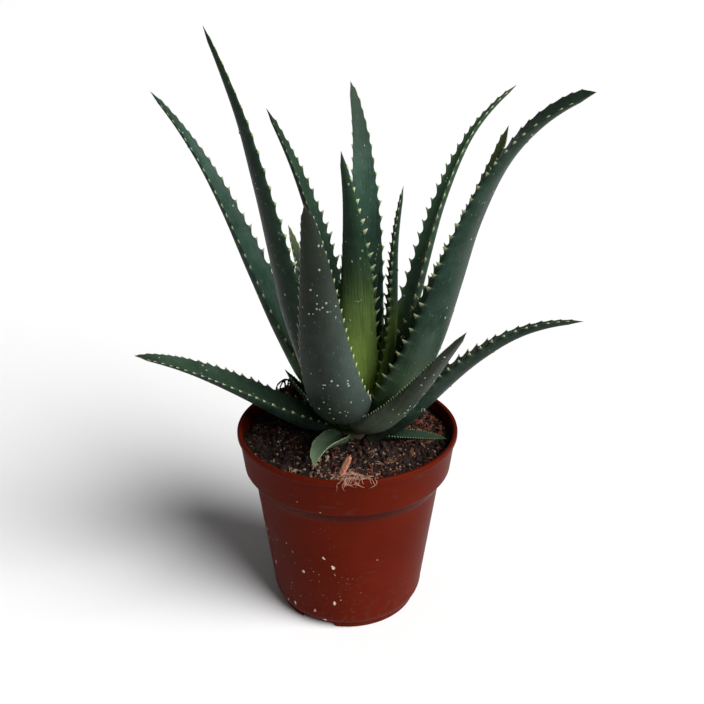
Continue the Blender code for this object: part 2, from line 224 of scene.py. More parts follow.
def leaf_sizes(leaf, shares):
    """Half width, thickness and half wrap angle at these shares of a leaf's length."""
    left = np.maximum(1 - shares, 0)
    foot = np.clip(shares / FOOT_LENGTH, 0, 1)
    foot = FOOT_SHARE + (1 - FOOT_SHARE) * foot**2 * (3 - 2 * foot)
    half = leaf.width * MM / 2 * foot * (left**leaf.taper * (1 - TIP_SHARE) + TIP_SHARE)
    sheath = np.minimum(1, 0.5 + 3 * shares)
    thick = leaf.thick * MM * (sheath * left**0.6 * (1 - 2 * TIP_SHARE) + 2 * TIP_SHARE)
    wrap = np.radians(WRAP_TIP + (WRAP_BASE - WRAP_TIP) * left**2)
    return half, thick, wrap


RING = 30
LAST_TOOTH = 0.975
# Outline of one tooth: millimetres along the margin from its middle, and share of its height.
TOOTH_ALONG = np.array([-3.6, -2.4, -1.4, -0.5, 0.2, 0.65, 0.95, 1.5, 2.6])
TOOTH_HIGH = np.array([0.0, 0.14, 0.34, 0.60, 0.92, 1.0, 0.52, 0.22, 0.0])


def tooth_places(leaf, random_source):
    """Distances along one margin, in millimetres, of its teeth."""
    at, places = 0.07 * leaf.length, []
    while at < leaf.length * LAST_TOOTH:
        places.append(at)
        share = at / leaf.length
        at += leaf.pitch * (1 - 0.45 * share) * random_source.uniform(0.82, 1.18)
    return np.array(places)


def tooth_heights(leaf, places, random_source):
    """Height of each tooth: small at the base and towards the tip."""
    share = places / leaf.length
    size = np.clip(0.45 + share * 6, 0, 1) * np.clip((1.04 - share) * 2.2, 0.28, 1)
    return leaf.tooth * size * random_source.uniform(0.75, 1.15, len(places))


def leaf_surface(leaf, shares, angles):
    """Points of the leaf's plain surface at shares of its length and angles round its section."""
    points, side, _, inner = leaf_line(leaf, shares)
    half, thick, wrap = leaf_sizes(leaf, shares)
    radius = half / wrap
    x = np.cos(angles)
    depth = np.where(np.sin(angles) > 0, 0.10, 1.0) * np.sin(angles) * thick
    bow = np.where(np.sin(angles) > 0, -0.05 * thick * (1 - x**2), 0.0)
    reach = radius - depth - bow
    turned = x * wrap
    u, n = reach * np.sin(turned), radius - reach * np.cos(turned)
    return points + u[:, None] * side + n[:, None] * inner


def leaf_stations(leaf, margins, scale):
    """Distances along a leaf, in millimetres, of its sections: regular ones, and each tooth's outline."""
    stations = [np.linspace(-3.0, 0.0, 3), np.arange(1.5, leaf.length - 1, 2.2)]
    stations.append(leaf.length - np.array([0.9, 0.5, 0.25, 0.0]))
    for places in margins:
        stations.append((places[:, None] + TOOTH_ALONG[None, 1:-1] * scale).ravel())
    stations = np.unique(np.round(np.concatenate(stations), 2))
    stations = stations[stations <= leaf.length]
    return stations[np.concatenate([[True], np.diff(stations) > 0.1])]


def leaf_body(stations, line, sizes, fade, rnd):
    """The leaf without its teeth, as a grid of points, with slow unevenness as in a grown thing."""
    points, side, forward, inner = line
    half, thick, wrap = sizes
    back = np.minimum(stations, 0)[:, None] * MM * forward
    phase = rnd.uniform(0, 2 * math.pi, 6)
    wander = 0.35 * np.sin(stations / 23 + phase[0]) + 0.2 * np.sin(stations / 9.5 + phase[1])
    swell = 1 + 0.025 * np.sin(stations / 15 + phase[2]) + 0.015 * np.sin(stations / 6.1 + phase[3])
    vertices = np.zeros((len(stations), RING, 3))
    for j, angle in enumerate(ring_angles):
        x, s = math.cos(angle), math.sin(angle)
        radius = half / wrap
        depth = s * (thick * swell) * (0.10 if s > 0 else 1.0)
        if s > 0:
            depth = depth - 0.06 * thick * (1 - x * x) ** 1.5
        if s < 0:
            # Shallow lengthwise flutes on the outer face.
            depth = depth + 0.10 * MM * math.sin(7 * angle + phase[4]) * fade
        reach = radius - depth
        turned = x * wrap
        u, n = reach * np.sin(turned), radius - reach * np.cos(turned)
        u = u + (wander * fade * MM) * 0.5
        n = n + (wander * fade * MM) * 0.35
        vertices[:, j] = points + back + u[:, None] * side + n[:, None] * inner
    return vertices


def raise_teeth(leaf, vertices, edge, places, high, stations, line, wrap, fade, scale):
    """Pulls one margin out into teeth that lean forwards and inwards. Gives the margin's tooth mask."""
    _, side, forward, inner = line
    mask = np.zeros(vertices.shape[:2])
    nearest = np.abs(stations[:, None] - places[None]).argmin(axis=1)
    delta = (stations - places[nearest]) / scale
    lift = np.interp(delta, TOOTH_ALONG, TOOTH_HIGH, left=0, right=0)
    size = high[nearest] * MM
    sign = 1 if edge == 0 else -1
    tangent = sign * (np.cos(wrap)[:, None] * side) + np.sin(wrap)[:, None] * inner
    scallop = -0.22 * MM * np.clip(np.abs(delta) / 4.0, 0, 1) * fade * (leaf.pitch > 5)
    for ring_step, share in ((0, 1.0), (1, 0.34), (-1, 0.22), (2, 0.10), (-2, 0.06)):
        j = (edge + ring_step) % RING
        rise_by = lift * size * share + scallop * (1 if ring_step == 0 else 0.5)
        vertices[:, j] += tangent * rise_by[:, None] + forward * (lift**2 * size * share * 0.55)[:, None]
        vertices[:, j] += inner * (lift**2 * size * share * 0.25)[:, None]
        if ring_step == 0:
            mask[:, j] = np.maximum(np.clip(lift * 1.15, 0, 1), 0.16)
        else:
            mask[:, j] = np.clip(lift, 0, 1) * (0.42 if abs(ring_step) == 1 else 0.12)
    return mask


ring_angles = np.linspace(0, 2 * math.pi, RING, endpoint=False)


def build_leaf(leaf, seed, material, slot):
    """One finished leaf: body, teeth and spots, with what its skin reads stored on its points."""
    rnd = scatter(seed)
    margins = [tooth_places(leaf, rnd), tooth_places(leaf, rnd)]
    margins[1] = margins[1] + leaf.pitch * 0.4
    margins[1] = margins[1][margins[1] < leaf.length * LAST_TOOTH]
    heights = [tooth_heights(leaf, places, rnd) for places in margins]
    scale = min(1.0, leaf.pitch / 5.5)
    stations = leaf_stations(leaf, margins, scale)
    shares = np.clip(stations / leaf.length, 0, 1)
    count = len(stations)

    line = leaf_line(leaf, shares)
    half, thick, wrap = leaf_sizes(leaf, shares)
    point = np.clip((leaf.length - stations) / 7, 0.02, 1) ** 0.6
    half, thick = half * point, thick * point
    fade = np.clip(shares * 5, 0, 1) * np.clip((1 - shares) * 6, 0, 1)
    vertices = leaf_body(stations, line, (half, thick, wrap), fade, rnd)
    tooth = np.zeros((count, RING))
    for edge, places, high in ((0, margins[0], heights[0]), (RING // 2, margins[1], heights[1])):
        if len(places):
            mask = raise_teeth(leaf, vertices, edge, places, high, stations, line, wrap, fade, scale)
            tooth = np.maximum(tooth, mask)

    flat = vertices.reshape(-1, 3)
    faces = []
    for i in range(count - 1):
        a, b = i * RING, (i + 1) * RING
        for j in range(RING):
            nxt = (j + 1) % RING
            faces.append((a + j, b + j, b + nxt, a + nxt))
    faces.append(tuple(range(RING)))
    faces.append(tuple(reversed(range((count - 1) * RING, count * RING))))
    columns = {
        "along": np.repeat(shares, RING),
        "along_mm": np.repeat(stations, RING),
        "across_mm": (np.cos(ring_angles)[None] * half[:, None] / MM).ravel(),
        "inner_face": np.tile(np.clip(np.sin(ring_angles) * 3 + 0.5, 0, 1), count),
        "tooth": tooth.ravel(),
        "spot": np.zeros(len(flat)),
    }
    extra_vertices, extra_faces, extra = spots(leaf, rnd, len(flat))
    if len(extra_vertices):
        flat = np.vstack([flat, extra_vertices])
        faces += extra_faces
        columns = {key: np.concatenate([values, extra[key]]) for key, values in columns.items()}
    made = mesh_object("blade_" + leaf.name, flat, faces, columns)
    return place(made, slot, material, "leaf_" + leaf.name)


SPOT_SIDES = 9
# Shares of a leaf's length where its spots gather.
CLUSTERS = (0.26, 0.40, 0.66)


def spots(leaf, rnd, first):
    """Small raised pale bumps on a leaf's two faces."""
    rows = []
    for wanted, inner_side in ((leaf.spots, False), (leaf.inner_spots, True)):
        made = 0
        while made < wanted:
            made += 1
            if rnd.uniform() < 0.45:
                share = rnd.uniform(0.1, 0.9)
            else:
                share = rnd.choice(CLUSTERS) + rnd.normal() * 0.022
            x = rnd.uniform(-0.82, 0.82)
            angle = math.acos(x) * (1 if inner_side else -1)
            # Spots often come in short rows across the leaf.
            group = 1 + (rnd.uniform() < 0.16) * int(rnd.integers(1, 4))
            for g in range(group):
                size = rnd.uniform(0.34, 0.66) * (0.8 if group > 1 else 1.0)
                at = min(share + rnd.uniform(-0.004, 0.004), 0.93)
                rows.append((at, angle + g * 0.13, size, inner_side))
    if not rows:
        return [], [], {}
    shares, angles, sizes, inward = np.array(rows, dtype=float).T.copy()
    sizes = sizes * MM
    centre = leaf_surface(leaf, shares, angles)
    d_along = unit(leaf_surface(leaf, shares + 0.004, angles) - centre)
    d_round = unit(leaf_surface(leaf, shares, angles + 0.02) - centre)
    normal = unit(np.cross(d_along, d_round))
    points, _, _, inner = leaf_line(leaf, shares)
    normal *= np.sign(np.sum(normal * (centre - points + 2 * MM * inner), axis=1))[:, None]
    facing_away = np.sum(normal * inner, axis=1) * (2 * inward - 1) < -0.2
    normal = np.where(facing_away[:, None], -normal, normal)
    across = np.cross(normal, d_along)
    vertices, faces = [], []
    half = leaf_sizes(leaf, shares)[0]
    for k in range(len(rows)):
        base = first + len(vertices)
        for reach, high in ((1.0, -0.35), (0.92, 0.10), (0.62, 0.36)):
            for m in range(SPOT_SIDES):
                a = 2 * math.pi * m / SPOT_SIDES
                vertices.append(
                    centre[k]
                    + sizes[k] * reach * (1.15 * math.cos(a) * d_along[k] + math.sin(a) * across[k])
                    + sizes[k] * high * normal[k]
                )
        vertices.append(centre[k] + sizes[k] * 0.46 * normal[k])
        for r in range(2):
            faces += band(base + r * SPOT_SIDES, base + (r + 1) * SPOT_SIDES, SPOT_SIDES)
        top = base + 2 * SPOT_SIDES
        for m in range(SPOT_SIDES):
            faces.append((top + m, top + (m + 1) % SPOT_SIDES, base + 3 * SPOT_SIDES))
        faces.append(tuple(base + m for m in reversed(range(SPOT_SIDES))))
    number = 3 * SPOT_SIDES + 1
    columns = {
        "along": np.repeat(shares, number),
        "along_mm": np.repeat(shares * leaf.length, number),
        "across_mm": np.repeat(np.cos(angles) * half / MM, number),
        "inner_face": np.repeat(inward, number),
        "tooth": np.zeros(number * len(rows)),
        "spot": np.tile([0.25] * SPOT_SIDES + [1.0] * (number - SPOT_SIDES), len(rows)),
    }
    return np.array(vertices), faces, columns


# ---- materials


class Nodes:
    """Short calls for building one material's node tree."""

    def __init__(self, name):
        self.material = bpy.data.materials.new(name)
        self.material.use_nodes = True
        self.tree = self.material.node_tree
        self.shader = self.tree.nodes["Principled BSDF"]

    def new(self, kind, **settings):
        node = self.tree.nodes.new(kind)
        for key, value in settings.items():
            if key in node.inputs:
                self.put(node.inputs[key], value)
            else:
                setattr(node, key, value)
        return node

    def put(self, socket, value):
        """Sets a number or a colour on a socket, or links another node's output to it."""
        if isinstance(value, (int, float)):
            socket.default_value = value
        elif isinstance(value, tuple):
            socket.default_value = (*value, 1)
        elif value is not None:
            self.tree.links.new(value, socket)

    def attribute(self, name):
        return self.new("ShaderNodeAttribute", attribute_name=name).outputs["Fac"]

    def vector(self, x, y, z=0.0):
        node = self.new("ShaderNodeCombineXYZ")
        for socket, value in zip(node.inputs, (x, y, z)):
            self.put(socket, value)
        return node.outputs[0]

    def first_of(self, colour):
        """The first channel of a colour, as a random number for each cell."""
        return self.new("ShaderNodeSeparateColor", Color=colour).outputs[0]

    def object_place(self):
        return self.new("ShaderNodeTexCoord").outputs["Object"]

    def math(self, operation, a, b=None, c=None, clamp=False):
        node = self.new("ShaderNodeMath", operation=operation, use_clamp=clamp)
        for socket, value in zip(node.inputs, (a, b, c)):
            self.put(socket, value)
        return node.outputs[0]

    def scaled(self, vector, factors):
        node = self.new("ShaderNodeVectorMath", operation="MULTIPLY")
        self.put(node.inputs[0], vector)
        node.inputs[1].default_value = factors
        return node.outputs[0]

    def noise(self, vector, scale, detail=3.0, roughness=0.5):
        settings = {"Scale": scale, "Detail": detail, "Roughness": roughness}
        return self.new("ShaderNodeTexNoise", Vector=vector, **settings).outputs["Fac"]

    def nudged(self, vector):
        """The place, nudged a little by noise, so that cells get ragged outlines."""
        noise = self.new("ShaderNodeTexNoise", Vector=vector, Scale=500.0, Detail=2.0)
        small = self.scaled(noise.outputs["Color"], (0.0025, 0.0025, 0.0025))
        node = self.new("ShaderNodeVectorMath", operation="ADD")
        self.put(node.inputs[0], vector)
        self.put(node.inputs[1], small)
        return node.outputs[0]

    def voronoi(self, vector, scale, output="Distance"):
        return self.new("ShaderNodeTexVoronoi", Vector=vector, Scale=scale).outputs[output]

    def ramp(self, value, low, high, start=0.0, end=1.0):
        """value from low to high gives start to end, held at both ends."""
        node = self.new("ShaderNodeMapRange", Value=value, clamp=True)
        for key, number in (("From Min", low), ("From Max", high), ("To Min", start), ("To Max", end)):
            node.inputs[key].default_value = number
        return node.outputs["Result"]

    def mix(self, share, a, b):
        node = self.new("ShaderNodeMix", data_type="RGBA")
        for number, value in ((0, share), (6, a), (7, b)):
            self.put(node.inputs[number], value)
        return node.outputs[2]

    def bump(self, height, distance, strength=1.0, normal=None):
        settings = {"Distance": distance, "Strength": strength, "Normal": normal}
        return self.new("ShaderNodeBump", Height=height, **settings).outputs["Normal"]

    def finish(self, colour, roughness, normal=None, **constants):
        for key, value in (("Base Color", colour), ("Roughness", roughness), ("Normal", normal)):
            self.put(self.shader.inputs[key], value)
        for key, value in constants.items():
            self.shader.inputs[key.replace("_", " ")].default_value = value
        return self.material


def leaf_skin(
    name, outer, inner, base, tip, base_reach, lines, bloom, tooth_pale=0.24, painted_lit_side=0.0, tip_from=0.80
):
    """Leaf skin: colours of its faces, base and tip, pale teeth and spots, fine lines, a thin wax bloom, and
    painted light on one side.
    """
    n = Nodes(name)
    along, face = n.attribute("along"), n.attribute("inner_face")
    along_mm, across_mm = n.attribute("along_mm"), n.attribute("across_mm")
    tooth, spot = n.attribute("tooth"), n.attribute("spot")
    skin = n.vector(across_mm, along_mm, face)
    body = n.object_place()
    cloud = n.noise(body, 55, 3, 0.55)
    colour = n.mix(face, outer, inner)
    colour = n.mix(n.ramp(cloud, 0.35, 0.7, 0.0, 0.55), colour, tuple(c * 0.62 for c in outer))
    # Fine lengthwise lines, half a millimetre apart and a few centimetres long.
    fine = n.noise(n.scaled(skin, (1.9, 0.045, 1.0)), 1.0, 3, 0.6)
    thin = n.ramp(fine, 0.42, 0.62, 0.0, 1.0)
    colour = n.mix(n.math("MULTIPLY", thin, lines), colour, tuple(c * 0.45 for c in outer))
    # Wax bloom: bluish, in soft clouds with rubbed places.
    wax = n.noise(body, 120, 4, 0.6)
    wax_share = n.math("MULTIPLY", n.ramp(wax, 0.4, 0.75), bloom)
    # Painted light: the bloom colour laid over one half of the leaf's width, growing towards that margin,
    # stands for the key light on that side.
    painted_lit_side_share = n.math("MULTIPLY", n.ramp(across_mm, -2.0, 17.0), painted_lit_side)
    colour = n.mix(n.math("ADD", wax_share, painted_lit_side_share, clamp=True), colour, (0.13, 0.18, 0.155))
    # Light flecks in the skin.
    flecks = n.voronoi(n.scaled(skin, (1.0, 0.42, 1.0)), 0.55)
    fleck = n.ramp(flecks, 0.10, 0.17, 0.45, 0.0)
    colour = n.mix(fleck, colour, (0.10, 0.17, 0.11))
    # Base and tip.
    ragged = n.math("ADD", along, n.math("MULTIPLY", n.math("SUBTRACT", cloud, 0.5), 0.16))
    streaked = n.math("ADD", ragged, n.math("MULTIPLY", n.math("SUBTRACT", fine, 0.5), base_reach * 0.4))
    near_base = n.ramp(streaked, base_reach * 0.05, base_reach, 1.0, 0.0)
    near_base = n.math("POWER", near_base, 2.0)
    colour = n.mix(n.math("MULTIPLY", near_base, 0.94), colour, base)
    colour = n.mix(n.ramp(ragged, tip_from, 1.0, 0.0, 0.8), colour, tip)
    colour = n.mix(n.ramp(along, 0.988, 0.998), colour, (0.075, 0.045, 0.022))
    # Pale margin, teeth and spots.
    colour = n.mix(n.ramp(tooth, tooth_pale, tooth_pale + 0.5, 0.0, 0.9), colour, (0.55, 0.60, 0.33))
    colour = n.mix(n.ramp(spot, 0.2, 0.9, 0.0, 0.8), colour, (0.27, 0.33, 0.28))
    rough = n.ramp(wax, 0.3, 0.75, 0.36, 0.56)
    pores = n.voronoi(skin, 2.2)
    normal = n.bump(fine, 0.00035, 0.6)
    normal = n.bump(pores, 0.00010, 0.35, normal)
    return n.finish(
        colour, rough, normal, Specular_IOR_Level=0.11,
        Subsurface_Weight=0.10, Subsurface_Radius=(0.4, 1.0, 0.25), Subsurface_Scale=0.002,
    )


# Each skin: colours of its outer face, inner face, base and tip. Then how far up the base colour reaches, how
# strong the lines and the bloom are, where teeth turn pale, how much painted light its lit side gets and
# where the tip starts.
SKIN_ROWS = {
    "slate": (
        (0.008, 0.013, 0.009), (0.030, 0.066, 0.034), (0.10, 0.12, 0.030), (0.009, 0.012, 0.005),
        0.05, 0.55, 0.08, 0.24, 0.42, 0.45,
    ),
    "dark": (
        (0.005, 0.016, 0.008), (0.020, 0.048, 0.026), (0.05, 0.10, 0.02), (0.012, 0.020, 0.009),
        0.16, 0.2, 0.08, 0.48,
    ),
    "blue": (
        (0.010, 0.029, 0.017), (0.028, 0.068, 0.046), (0.11, 0.17, 0.07), (0.02, 0.036, 0.02),
        0.42, 0.35, 0.16, 0.38,
    ),
    "green": (
        (0.022, 0.050, 0.027), (0.046, 0.098, 0.050), (0.32, 0.50, 0.10), (0.026, 0.042, 0.02),
        0.38, 0.2, 0.12,
    ),
    "deep": (
        (0.010, 0.024, 0.014), (0.032, 0.064, 0.036), (0.025, 0.040, 0.018), (0.018, 0.030, 0.014),
        0.20, 0.2, 0.12, 0.42,
    ),
    "moss": (
        (0.015, 0.024, 0.011), (0.030, 0.060, 0.026), (0.17, 0.20, 0.145), (0.018, 0.026, 0.010),
        0.62, 0.3, 0.14, 0.40,
    ),
    "olive": (
        (0.016, 0.036, 0.019), (0.030, 0.054, 0.026), (0.09, 0.15, 0.03), (0.085, 0.10, 0.03),
        0.25, 0.15, 0.12,
    ),
    "young": (
        (0.015, 0.042, 0.020), (0.035, 0.090, 0.036), (0.66, 0.98, 0.19), (0.020, 0.046, 0.025),
        0.66, 0.35, 0.10,
    ),
    "pale": (
        (0.06, 0.095, 0.055), (0.09, 0.135, 0.08), (0.10, 0.15, 0.065), (0.11, 0.15, 0.08),
        0.2, 0.1, 0.2,
    ),
}
SKINS = {name: leaf_skin("skin_" + name, *row) for name, row in SKIN_ROWS.items()}

# Leaves that start at least this many millimetres above the soil's edge are the inner ones.
INNER_FROM = 14
DARK_LEAVES = ("front_broad", "left_tall")

for number, leaf in enumerate(LEAVES):
    slot = "leaf_inner_green" if leaf.height >= INNER_FROM else "leaf_green"
    if leaf.name in DARK_LEAVES:
        slot = "leaf_dark_green"
    build_leaf(leaf, 100 + number, SKINS[leaf.skin], slot)


# ---- pot


def wall_radius(z):
    """Outer radius of the tapering wall at a height."""
    top = RIM_RADIUS - BEAD_LIP - COLLAR_TAPER - STEP_WIDTH
    step = POT_HEIGHT - COLLAR_HEIGHT - STEP_HEIGHT
    return BASE_RADIUS + (top - BASE_RADIUS) * (z - FOOT_HEIGHT) / (step - FOOT_HEIGHT)


def softened(profile, radius, count=5):
    """The profile with each inner corner rounded by a small curve."""
    rounded = [profile[0]]
    for before, corner, after in zip(profile, profile[1:], profile[2:]):
        a, b, c = np.array(before), np.array(corner), np.array(after)
        one, two = a - b, c - b
        reach = min(radius, 0.45 * np.linalg.norm(one), 0.45 * np.linalg.norm(two))
        p, q = b + unit(one) * reach, b + unit(two) * reach
        for t in np.linspace(0, 1, count):
            rounded.append(tuple((1 - t) ** 2 * p + 2 * t * (1 - t) * b + t * t * q))
    return rounded + [profile[-1]]


def lathe(profile, steps):
    """Vertices and faces of a profile turned once round Z; a point on the axis is a single vertex."""
    vertices, rows, faces = [], [], []
    for r, z in profile:
        if r < 1e-7:
            rows.append([len(vertices)] * steps)
            vertices.append((0.0, 0.0, z))
        else:
            rows.append(list(range(len(vertices), len(vertices) + steps)))
            for k in range(steps):
                a = 2 * math.pi * k / steps
                vertices.append((r * math.cos(a), r * math.sin(a), z))
    for low, high in zip(rows, rows[1:]):
        for k in range(steps):
            nxt = (k + 1) % steps
            face = [low[k], low[nxt], high[nxt], high[k]]
            face = [v for i, v in enumerate(face) if v != face[i - 1]]
            if len(face) > 2:
                faces.append(tuple(face))
    return vertices, faces


step = POT_HEIGHT - COLLAR_HEIGHT
corner = FOOT_HEIGHT + BASE_CORNER
foot = BASE_RADIUS - FOOT_INSET
collar = RIM_RADIUS - BEAD_LIP
inner_rim = collar - WALL
inner_corner = BASE_CORNER - WALL
inside = [(0, FOOT_HEIGHT + WALL + FLOOR_RISE), (FLOOR_MIDDLE, FOOT_HEIGHT + WALL + FLOOR_RISE)]
inside += [
    (wall_radius(corner) - WALL - inner_corner * (1 - math.cos(a)), corner - inner_corner * math.sin(a))
    for a in np.radians([90, 75, 60, 45, 30, 15, 0])
]
inside += [
    (wall_radius(step - STEP_HEIGHT) - WALL, step - STEP_HEIGHT - 0.5 * MM),
    (inner_rim - COLLAR_TAPER, step - 0.3 * MM),
    (inner_rim, POT_HEIGHT - 0.5 * MM),
]
reach = wall_radius(corner) - foot
outside = [
    (collar - 0.4 * MM, POT_HEIGHT),
    (RIM_RADIUS - 0.4 * MM, POT_HEIGHT),
    (RIM_RADIUS, POT_HEIGHT - 0.9 * MM),
    (RIM_RADIUS, POT_HEIGHT - BEAD_HEIGHT + 0.9 * MM),
    (RIM_RADIUS - 0.5 * MM, POT_HEIGHT - BEAD_HEIGHT),
    (collar, POT_HEIGHT - BEAD_HEIGHT - 0.3 * MM),
    (collar - COLLAR_TAPER, step + 0.8 * MM),
    (collar - COLLAR_TAPER - 0.9 * MM, step),
    (wall_radius(step - STEP_HEIGHT), step - STEP_HEIGHT),
]
outside += [
    (foot + reach * math.cos(a), corner - (BASE_CORNER - 0.4 * MM) * math.sin(a))
    for a in np.radians([0, 15, 30, 45, 60, 74, 86])
]
outside += [
    (foot, 0.5 * MM),
    (foot - 0.5 * MM, 0),
    (foot - FOOT_WIDTH, 0),
    (foot - FOOT_WIDTH, FOOT_HEIGHT),
    (FLOOR_MIDDLE, FOOT_HEIGHT + FLOOR_RISE),
    (0, FOOT_HEIGHT + FLOOR_RISE),
]
profile = softened(inside + outside, 0.7 * MM, 4)
dense = [profile[0]]
for a, b in zip(profile, profile[1:]):
    pieces = max(1, int(math.dist(a, b) / (6 * MM)))
    for k in range(1, pieces + 1):
        dense.append((a[0] + (b[0] - a[0]) * k / pieces, a[1] + (b[1] - a[1]) * k / pieces))
vertices, faces = lathe(dense, 160)
pot = mesh_object("pot_body", vertices, faces)
outward(pot)


def subtract(target, cutter):
    """Cuts one mesh out of another and leaves no modifier behind."""
    boolean = target.modifiers.new("cut", "BOOLEAN")
    boolean.operation, boolean.solver, boolean.object = "DIFFERENCE", "EXACT", cutter
    graph = bpy.context.evaluated_depsgraph_get()
    mesh = bpy.data.meshes.new_from_object(target.evaluated_get(graph), depsgraph=graph)
    target.modifiers.clear()
    target.data = mesh
    bpy.data.objects.remove(cutter)


def box_mesh(size, at, angle):
    """A cutter block turned about the vertical."""
    corners = [(x, y, z) for x in (-0.5, 0.5) for y in (-0.5, 0.5) for z in (-0.5, 0.5)]
    c, s = math.cos(angle), math.sin(angle)
    points = []
    for x, y, z in corners:
        x, y, z = x * size[0], y * size[1], z * size[2]
        points.append((at[0] + c * x - s * y, at[1] + s * x + c * y, at[2] + z))
    faces = [(0, 1, 3, 2), (4, 6, 7, 5), (0, 4, 5, 1), (2, 3, 7, 6), (0, 2, 6, 4), (1, 5, 7, 3)]
    return points, faces


cuts = []
for i in range(FOOT_NOTCHES):
    azimuth = NOTCH_FIRST + 360 * i / FOOT_NOTCHES
    notch = (NOTCH_DEPTH, NOTCH_WIDTH, 2 * (FOOT_HEIGHT - NOTCH_ROOF))
    cuts.append(box_mesh(notch, turn(azimuth) * foot, math.radians(azimuth)))
for i in range(DRAIN_HOLES):
    way = turn(NOTCH_FIRST + 360 * i / DRAIN_HOLES) * (foot - FOOT_WIDTH - 2 * DRAIN_RADIUS)
    points = [
        (way[0] + DRAIN_RADIUS * math.cos(a), way[1] + DRAIN_RADIUS * math.sin(a), z)
        for z in (FOOT_HEIGHT - DRAIN_REACH, FOOT_HEIGHT + DRAIN_REACH)
        for a in np.linspace(0, 2 * math.pi, DRAIN_SIDES, endpoint=False)
    ]
    faces = [tuple(reversed(range(DRAIN_SIDES))), tuple(range(DRAIN_SIDES, 2 * DRAIN_SIDES))]
    cuts.append((points, faces + band(0, DRAIN_SIDES, DRAIN_SIDES)))
cutter = mesh_object("pot_cuts", *joined(cuts), smooth=False)
subtract(pot, cutter)
pot.data.set_sharp_from_angle(angle=math.radians(35))


def pot_plastic():
    """Thin moulded terracotta plastic: satin, faint flow marks, dust, a few scuffs, dried specks and painted
    shade under the collar.
    """
    n = Nodes("pot_plastic_satin")
    at = n.object_place()
    cloud = n.noise(at, 28, 4, 0.55)
    colour = n.mix(n.ramp(cloud, 0.35, 0.7), (0.074, 0.0062, 0.0017), (0.094, 0.0082, 0.0024))
    # Faint rings left by the mould.
    rings = n.noise(n.scaled(at, (6, 6, 900)), 1.0, 2, 0.5)
    colour = n.mix(n.ramp(rings, 0.4, 0.65, 0.0, 0.22), colour, (0.066, 0.0060, 0.0018))
    parts = n.new("ShaderNodeSeparateXYZ", Vector=at)
    height = parts.outputs["Z"]
    # Dust thins out upwards from the base.
    low = n.ramp(height, 0.012, 0.045, 1.0, 0.0)
    dust = n.noise(at, 320, 4, 0.7)
    dusty = n.math("MULTIPLY", n.ramp(dust, 0.52, 0.68), n.math("MULTIPLY", low, 0.06))
    colour = n.mix(dusty, colour, (0.30, 0.15, 0.10))
    # Dried specks, mostly low on one side.
    side = n.math("MULTIPLY_ADD", parts.outputs["X"], -0.8, n.math("MULTIPLY", parts.outputs["Y"], -0.6))
    here = n.math("MULTIPLY", n.ramp(side, 0.020, 0.040), n.ramp(height, 0.040, 0.075, 1.0, 0.0))
    ragged = n.scaled(n.nudged(at), (1.0, 1.0, 0.6))
    cells = n.new("ShaderNodeTexVoronoi", Vector=ragged, Scale=190.0)
    chosen = n.ramp(n.math("MULTIPLY_ADD", here, 0.44, n.first_of(cells.outputs["Color"])), 1.08, 1.10)
    bright = n.math("MULTIPLY", n.ramp(cells.outputs["Distance"], 0.13, 0.19, 1.0, 0.0), chosen)
    fine_places = n.math("MULTIPLY", here, n.ramp(n.noise(at, 70, 2, 0.5), 0.5, 0.6))
    fine_specks = n.math("MULTIPLY", n.ramp(n.voronoi(at, 420), 0.10, 0.20, 0.5, 0.0), fine_places)
    stray = n.ramp(n.voronoi(at, 110), 0.030, 0.050, 0.5, 0.0)
    specks = n.math("MAXIMUM", n.math("MAXIMUM", bright, fine_specks), stray)
    colour = n.mix(specks, colour, (0.60, 0.50, 0.42))
    # Painted shade: a dark band just under the step below the collar, where the collar's shadow falls.
    step_top = POT_HEIGHT - COLLAR_HEIGHT
    below_edge = n.ramp(height, step_top - STEP_HEIGHT, step_top - 1 * MM)
    painted_collar_shadow = n.math("MULTIPLY", below_edge, n.ramp(height, step_top - 1 * MM, step_top, 1.0, 0.0))
    colour = n.mix(n.math("MULTIPLY", painted_collar_shadow, 0.85), colour, (0.026, 0.0022, 0.0008))
    # Dark rubbed marks.
    rubbed = n.ramp(n.noise(n.scaled(at, (1, 1, 2.2)), 150, 3, 0.6), 0.59, 0.65)
    scuff = n.math("MULTIPLY", rubbed, n.ramp(n.noise(at, 22, 1, 0.5), 0.52, 0.6))
    colour = n.mix(n.math("MULTIPLY", scuff, 0.75), colour, (0.07, 0.015, 0.01))
    rough = n.math("ADD", n.ramp(cloud, 0.3, 0.7, 0.36, 0.46), n.math("MULTIPLY", dusty, 0.5), clamp=True)
    normal = n.bump(rings, 0.00005, 0.6)
    normal = n.bump(n.noise(at, 900, 2, 0.5), 0.00006, 0.35, normal)
    normal = n.bump(n.noise(at, 45, 2, 0.5), 0.0006, 0.25, normal)
    return n.finish(colour, rough, normal, Specular_IOR_Level=0.02)


place(pot, "pot_plastic", pot_plastic(), "pot")

# ---- soil


def lumps(x, y, seed):
    """Uneven height in millimetres, from waves of several sizes in many directions."""
    rnd = scatter(seed)
    total = np.zeros_like(x)
    for wave, high in ((17, 0.55), (9, 0.45), (5.2, 0.40), (3.1, 0.34), (1.9, 0.26), (1.15, 0.18)):
        for _ in range(5):
            angle, phase = rnd.uniform(0, 2 * math.pi, 2)
            bend = rnd.uniform(0.4, 1.2)
            along = (x * math.cos(angle) + y * math.sin(angle)) / (wave * MM) * 2 * math.pi
            cross = (-x * math.sin(angle) + y * math.cos(angle)) / (wave * MM) * 2 * math.pi
            total += high / 5 * np.sin(along + phase + bend * np.sin(cross * 0.7 + phase * 2))
    return total


def soil_height(x, y):
    r = np.hypot(x, y)
    plain = SOIL_EDGE + SOIL_MOUND * np.maximum(0, 1 - (r / (45 * MM)) ** 2)
    return plain + (lumps(x, y, 7) * 1.1 - 0.6) * MM


def ground(x, y):
    """Height of the soil at one place."""
    return float(soil_height(np.array([x]), np.array([y]))[0])


